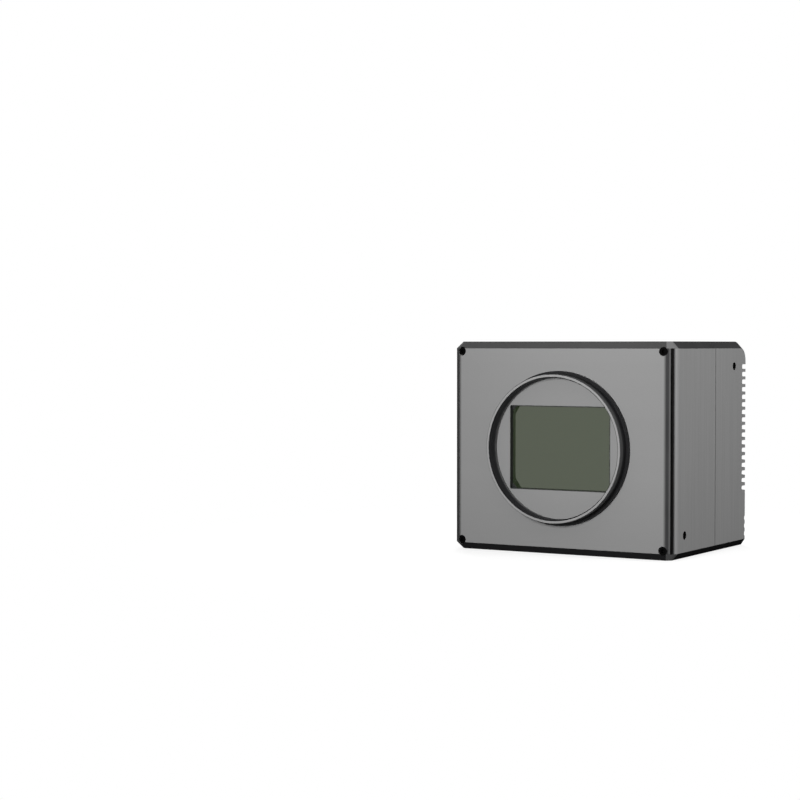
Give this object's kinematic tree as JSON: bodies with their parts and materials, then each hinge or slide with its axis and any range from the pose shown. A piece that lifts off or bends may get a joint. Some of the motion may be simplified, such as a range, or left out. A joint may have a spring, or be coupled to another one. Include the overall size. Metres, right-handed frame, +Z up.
{
  "type": "machine vision camera",
  "caption": "Large-sensor machine vision camera: grey finned aluminium housing, threaded lens-mount ring over a rectangular sensor window, side mounting holes, rear connectors.",
  "frame": {"origin": "middle of the underside of the housing", "axes": "+Z up, -Y out of the lens mount, +X to the right seen from the front"},
  "size_m": [0.124, 0.1123, 0.107],
  "materials": {
    "grey_anodised": "bead-blasted grey anodising",
    "black_anodised": "satin black anodising",
    "black_screws": "black oxide",
    "zinc_screws": "zinc plated",
    "window_glass": "grey-green filter glass",
    "clear_glass": "clear",
    "black_rubber": "matt",
    "spring_steel": "blackened sheet",
    "ceramic": "fired ceramic",
    "silicon": "polished silicon",
    "circuit_board": "green solder mask",
    "chip_black": "moulded",
    "thermal_pad": "soft silicone",
    "bare_aluminium": "milled",
    "socket_plastic": "moulded",
    "flex_film": "amber film",
    "inductor_grey": "pressed ferrite",
    "nickel": "nickel plate",
    "white_insulator": "fluoropolymer",
    "black_insulator": "moulded",
    "gold_contacts": "gold plate",
    "lamp_chip": "moulded"
  },
  "bodies": {
    "root": {"front_housing": "grey_anodised", "rear_housing": "grey_anodised", "lens_mount_ring": "black_anodised", "light_baffle": "black_anodised", "connector_panel": "black_anodised", "corner_tie_screws": "black_screws", "panel_screws": "black_screws", "ring_screws": "zinc_screws", "retainer_screws": "zinc_screws", "sensor_board_screws": "zinc_screws", "cold_plate_screws": "zinc_screws", "processor_board_screws": "zinc_screws", "interface_board_screws": "zinc_screws", "filter_glass": "window_glass", "sensor_cover_glass": "clear_glass", "status_light_pipe": "clear_glass", "housing_gasket": "black_rubber", "filter_gasket": "black_rubber", "panel_gasket": "black_rubber", "filter_retainer": "spring_steel", "sensor_package": "ceramic", "sensor_die": "silicon", "sensor_board": "circuit_board", "processor_board": "circuit_board", "interface_board": "circuit_board", "processor_chip": "chip_black", "memory_chips": "chip_black", "sensor_thermal_pad": "thermal_pad", "processor_thermal_pad": "thermal_pad", "cold_plate": "bare_aluminium", "sensor_board_socket": "socket_plastic", "processor_upper_socket": "socket_plastic", "processor_lower_socket": "socket_plastic", "interface_socket": "socket_plastic", "sensor_flex": "flex_film", "interface_flex": "flex_film", "power_inductors": "inductor_grey", "coax_jack_1": "nickel", "coax_jack_2": "nickel", "coax_jack_3": "nickel", "coax_jack_4": "nickel", "coax_nuts": "nickel", "power_socket_shell": "nickel", "power_socket_nut": "nickel", "coax_insulator_1": "white_insulator", "coax_insulator_2": "white_insulator", "coax_insulator_3": "white_insulator", "coax_insulator_4": "white_insulator", "power_socket_insert": "black_insulator", "coax_contact_1": "gold_contacts", "coax_contact_2": "gold_contacts", "coax_contact_3": "gold_contacts", "coax_contact_4": "gold_contacts", "power_socket_pins": "gold_contacts", "status_led": "lamp_chip"}
  },
  "joints": []
}
